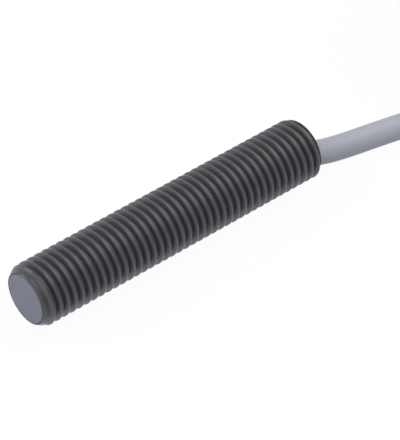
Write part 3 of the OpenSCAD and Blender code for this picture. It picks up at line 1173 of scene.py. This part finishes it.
    def core_route(self, side: int) -> Array:
        """Route of a stripped core to the floor.

        A row holds shares: of the length, the spread, and the fall of an outer and of the middle core.

        Args:
            side: -1 or 1 for the outer cores, 0 for the middle one.

        Returns:
            Points of the core's middle.
        """
        rows = np.array([
            [0, 0, 0, 0], [0.04, 0, 0, 0], [0.12, 0.09, 0.15, 0], [0.25, 0.24, 0.5, 0.15],
            [0.38, 0.39, 0.85, 0.45], [0.5, 0.52, 1, 0.8], [0.66, 0.68, 1, 1], [0.83, 0.83, 1, 1],
            [1, 1, 1, 1],
        ])
        end = self.ending()[-1, :2]
        along = unit(np.array(self.heading))
        across = np.array([-along[1], along[0]])
        apart = self.core_ring * math.cos(math.pi / 6)
        apart = apart + (self.spread - apart) * rows[:, 1]
        top = self.diameter / 2 + (self.core_ring if side == 0 else -self.core_ring / 2)
        low = rows[:, 3] if side == 0 else rows[:, 2]
        flat = end + rows[:, :1] * self.strip * along + side * apart[:, None] * across
        height = self.floor_z + top + (self.core / 2 - top) * low
        return smooth_route(np.column_stack([flat, height]), self.core_step)

    def tips(self) -> Object:
        """Tinned strands past the three cores: a round bar with seven twisted lobes and a rounded end.

        At the angle a and the distance s the radius is the bar's * (1 - relief * (1 - |cos b|)), with
        b = strands / 2 * (a + twist * s). At the end it falls with the root of the length that is left.

        Returns:
            The strands of all three cores.
        """
        shell = Shell()
        reach = np.linspace(0.0, self.tip, self.tip_points)
        angle = ring_angles(self.strand_sides * self.strands)
        for side in (-1, 0, 1):
            route = self.core_route(side)
            path = route[-1] + reach[:, None] * unit(route[-1] - route[-2])
            wave = np.abs(np.cos(self.strands / 2 * (angle[None] + self.twist * reach[:, None])))
            ends = np.sqrt(np.clip((self.tip - reach) / self.tip_round, self.tip_blunt, 1.0))[:, None]
            size = self.tip_radius * (1 - self.strand_relief * (1 - wave)) * ends
            rings = shell.grid(tube_rings(path, size, len(angle)))
            shell.cap(rings[0], path[0])
            shell.cap(rings[-1], path[-1], True)
        return shell.piece("tinned_ends", sharp=50.0)

    def build(self, shop: Workshop, tie: Object) -> None:
        """Args:
            shop: Workshop that places the pieces.
            tie: The strap round the hank. It is not used.
        """
        path = self.centreline()
        LOG.info("lead: %.0f mm in its sheath", distances(path)[-1])
        sheath = tube_piece("lead_sheath", path, self.diameter, self.sides)
        shop.fit(sheath, Finish.SHEATH, "cable_run", "cable_hank", "cable_tail")
        for finish, side in ((Finish.BROWN, -1), (Finish.BLUE, 1), (Finish.BLACK, 0)):
            name = finish.name.lower()
            core = tube_piece(f"end_{name}", self.core_route(side), self.core, self.core_sides)
            shop.fit(core, finish, f"tail_{name}")
        shop.fit(self.tips(), Finish.SOLDER, "tinned_tips")


@dataclass
class HankTie:
    """A flat strap round the hank, with its end lapped over the top."""

    near: float = 100.0
    width: float = 4.0
    thick: float = 0.56
    left: float = -11.6
    right: float = 17.5
    bottom: float = -3.4
    top: float = 16.05
    corner: float = 1.5
    corner_points: int = 13
    gap: float = 0.02
    spacing: float = 0.35
    lap: float = 9.0
    lap_points: int = 30
    lap_y: float = 8.0
    lap_slope: float = 2.0

    def ring(self) -> Array:
        """Points of a rounded box a gap outside the turns, counter-clockwise in Y and Z.

        Returns:
            The four corners' arcs, each centre + (corner + gap) * (cos a, sin a).
        """
        left, right = self.left + self.corner, self.right - self.corner
        bottom, top = self.bottom + self.corner, self.top - self.corner
        turn = np.linspace(0.0, math.pi / 2, self.corner_points)
        points = []
        for quarter, centre in enumerate(((right, top), (left, top), (left, bottom), (right, bottom))):
            angle = turn + quarter * math.pi / 2
            points.append(centre + (self.corner + self.gap) * points_of(np.cos(angle), np.sin(angle)))
        return np.concatenate(points)

    def band(self, shell: Shell, path: Array, closed: bool) -> None:
        """Adds a strap with rounded edges along a path in Y and Z.

        Its section holds shares of the width, which lies along X, and of the thickness, which points out.

        Args:
            shell: Shell that takes the strap.
            path: Points of its inner side, one a row.
            closed: Whether it runs all round.
        """
        side = np.array([
            [0.0, 0.12], [0.0, 0.88], [0.03, 1.0], [0.25, 1.0], [0.5, 1.0], [0.75, 1.0], [0.97, 1.0],
            [1.0, 0.88], [1.0, 0.12], [0.97, 0.0], [0.5, 0.0], [0.03, 0.0],
        ])
        ends = np.concatenate([path[-1:], path, path[:1]]) if closed else path
        along = unit(np.gradient(ends, axis=0))
        along = along[1:-1] if closed else along
        out = points_of(along[:, 1], -along[:, 0])
        x = self.near + self.width * side[:, 0]
        lift = self.thick * side[:, 1]
        flat = path[:, None] + out[:, None] * lift[None, :, None]
        points = np.concatenate([np.broadcast_to(x[None, :, None], (*flat.shape[:2], 1)), flat], axis=2)
        rings = shell.grid(points, along=closed)
        if not closed:
            shell.cap(rings[0], points[0].mean(axis=0))
            shell.cap(rings[-1], points[-1].mean(axis=0), True)

    def build(self, shop: Workshop) -> Object:
        """Makes the strap, and its lap, which comes down onto it by smoothstep.

        Args:
            shop: Workshop that places the piece.

        Returns:
            The strap.
        """
        shell = Shell()
        ring = self.ring()
        self.band(shell, respaced(np.concatenate([ring, ring[:1]]), self.spacing)[:-1], True)
        reach = np.linspace(0.0, self.lap, self.lap_points)
        lift = self.top + self.thick + self.gap * (2 - smoothstep(reach / self.lap_slope))
        self.band(shell, points_of(self.lap_y - reach, lift), False)
        return shop.fit(shell.piece("hank_strap"), Finish.TIE, "hank_tie")


# Electronics


@dataclass
class Electronics:
    """What lies in the barrel: coil, board and components, which keep their nodes, and the wires."""

    winding_in: float = 0.99
    winding_out: float = 1.78
    winding_from: float = 0.74
    winding_to: float = 2.06
    wire: float = 0.12
    wire_points: int = 8
    steps: int = 72

    def winding(self) -> Object:
        """The winding: rings of wire side by side, whose outside is radius - wire/2 * (1 - |sin|).

        Returns:
            The winding.
        """
        shell = Shell()
        turns = int((self.winding_to - self.winding_from) / self.wire)
        x = np.linspace(self.winding_from, self.winding_to, turns * self.wire_points + 1)
        wave = np.abs(np.sin(np.linspace(0.0, turns * math.pi, len(x))))
        outer = self.winding_out - self.wire / 2 * (1 - wave)
        first, last = (self.winding_from, self.winding_in), (self.winding_to, self.winding_in)
        revolved(shell, [first, *zip(x, outer), last, first], self.steps)
        return shell.piece("wound_coil", sharp=60.0)

    def build(self, shop: Workshop) -> None:
        """Dresses the nodes and makes the winding.

        Args:
            shop: Workshop that places the pieces.
        """
        shop.fit(self.winding(), Finish.COPPER, "coil_winding")
        chips = ("sensor_chip", "output_transistor", "suppressor_diode", "polarity_diode")
        kept = {
            Finish.FERRITE: ("ferrite_core",),
            Finish.BOBBIN: ("coil_bobbin",),
            Finish.COPPER: ("coil_lead_a", "coil_lead_b", "screen_sleeve"),
            Finish.HOLDER: ("board_holder", "end_plug"),
            Finish.BOARD: ("circuit_board",),
            Finish.COMPONENT: (*chips, *(f"resistor_{number}" for number in range(1, 5))),
            Finish.CERAMIC: (f"capacitor_{number}" for number in range(1, 4)),
            Finish.SOLDER: ("solder_joints",),
            Finish.RESIN: ("potting_resin",),
            Finish.SHEATH: ("cable_stub",),
            Finish.BROWN: ("core_brown",),
            Finish.BLUE: ("core_blue",),
            Finish.BLACK: ("core_black",),
            Finish.CRIMP: ("crimp_ring",),
        }
        for finish, nodes in kept.items():
            shop.dress(finish, *nodes)


# Stage


@dataclass(frozen=True)
class Lamp:
    """A square soft lamp that points at the object. Its place and size are in metres."""

    name: str
    place: Triple
    size: float
    watts: float

    def hang(self) -> None:
        """Puts the lamp in the scene."""
        data = bpy.data.lights.new(self.name, "AREA")
        data.shape, data.size, data.energy = "SQUARE", self.size, self.watts
        facing = Vector(self.place).to_track_quat("Z", "Y").to_matrix().to_4x4()
        placed(self.name, data).matrix_world = Matrix.Translation(self.place) @ facing


@dataclass
class Studio:
    """The floor, the soft light and the camera at the photograph's place."""

    place: Triple = (-123.83, -179.06, 203.65)
    right: Triple = (0.7666, -0.6421, 0.0)
    up: Triple = (0.4252, 0.5076, 0.7494)
    focal_pixels: float = 2588.0
    frame_pixels: float = 440.0
    sensor: float = 36.0
    clip: tuple[float, float] = (0.01, 20.0)
    floor_z: float = -4.01
    floor_half: float = 1500.0
    floor_dark: Colour = (0.43, 0.43, 0.44)
    floor_pale: Colour = (0.47, 0.47, 0.48)
    floor_grain: float = 20.0
    seen_white: float = 0.9
    floor_light: float = 1.06
    world_light: float = 0.35
    world_shine: float = 0.95
    floor_shine: float = 1.32
    shine_tint: Colour = (0.95, 1.0, 1.07)
    lamps: tuple[Lamp, ...] = (
        Lamp("key", (0.27, -0.12, 0.57), 0.6, 2.8),
        Lamp("fill", (-0.72, -0.10, 0.28), 0.5, 1.35),
        Lamp("rim", (-0.38, 0.46, 0.38), 0.3, 1.2),
    )

    def camera(self) -> None:
        """Sets the camera up from its place and its right and up directions."""
        data = bpy.data.cameras.new("camera")
        data.sensor_width = self.sensor
        data.lens = self.focal_pixels / self.frame_pixels * self.sensor
        data.clip_start, data.clip_end = self.clip
        right, up = unit(np.array(self.right)), unit(np.array(self.up))
        matrix = np.eye(4)
        matrix[:3] = np.column_stack([right, up, np.cross(right, up), np.array(self.place) * MM])
        made = placed("camera", data)
        made.matrix_world = Matrix(matrix.tolist())
        bpy.context.scene.camera = made

    def rays(self, graph: Graph) -> tuple[Value, Value]:
        """Whether a ray is the camera's own, and whether it was reflected or came through something.

        Args:
            graph: Graph that takes the node.

        Returns:
            The two answers, each 1 for yes and 0 for no.
        """
        path = graph.node("ShaderNodeLightPath")
        camera, glossy, through = (
            Value(graph, path.outputs[name])
            for name in ("Is Camera Ray", "Is Glossy Ray", "Is Transmission Ray")
        )
        return camera, glossy + through

    def floor(self) -> None:
        """A pale floor that keeps the object's shadow."""
        graph = Graph("floor")
        grain = graph.noise(graph.place(), self.floor_grain * MM)
        colour = graph.blend(grain, self.floor_dark, self.floor_pale)
        plain = graph.node("ShaderNodeBsdfDiffuse", None, {"Color": colour})
        camera, other = self.rays(graph)
        glow = {
            "Color": graph.blend(camera, self.shine_tint, WHITE),
            "Strength": camera * self.floor_light + other * self.floor_shine,
        }
        white = graph.node("ShaderNodeEmission", None, glow)
        share = (camera * self.seen_white + other).held()
        inputs = {0: share, 1: plain.outputs[0], 2: white.outputs[0]}
        mixed = graph.node("ShaderNodeMixShader", None, inputs)
        graph.tree.links.new(mixed.outputs[0], graph.output.inputs["Surface"])
        corners = self.floor_half * np.array([[-1, -1], [1, -1], [1, 1], [-1, 1]])
        mesh = bpy.data.meshes.new("floor")
        mesh.from_pydata(np.column_stack([corners, np.full(4, self.floor_z)]) * MM, [], [(0, 1, 2, 3)])
        mesh.materials.append(graph.owner)
        placed("floor", mesh)

    def world(self) -> None:
        """Even light from all round, seen as white."""
        graph = Graph("studio", world=True)
        camera, other = self.rays(graph)
        strength = self.world_light + camera * (1.0 - self.world_light)
        strength = strength + other * (self.world_shine - self.world_light)
        light = graph.node("ShaderNodeBackground", None, {"Color": (*WHITE, 1.0), "Strength": strength})
        graph.tree.links.new(light.outputs[0], graph.output.inputs["Surface"])
        bpy.context.scene.world = graph.owner

    def build(self) -> None:
        """Sets the stage."""
        bpy.context.scene.view_settings.view_transform = "Standard"
        self.camera()
        self.floor()
        self.world()
        for lamp in self.lamps:
            lamp.hang()


def main() -> None:
    """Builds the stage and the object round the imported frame."""
    logging.basicConfig(level=logging.INFO, format="%(name)s: %(message)s")
    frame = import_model()
    Studio().build()
    shop = Workshop(frame)
    FlyingLead().build(shop, HankTie().build(shop))
    for part in (ThreadedBarrel(), SensingFace(), Electronics()):
        part.build(shop)
    bpy.context.view_layer.update()


if __name__ == "__main__":
    main()
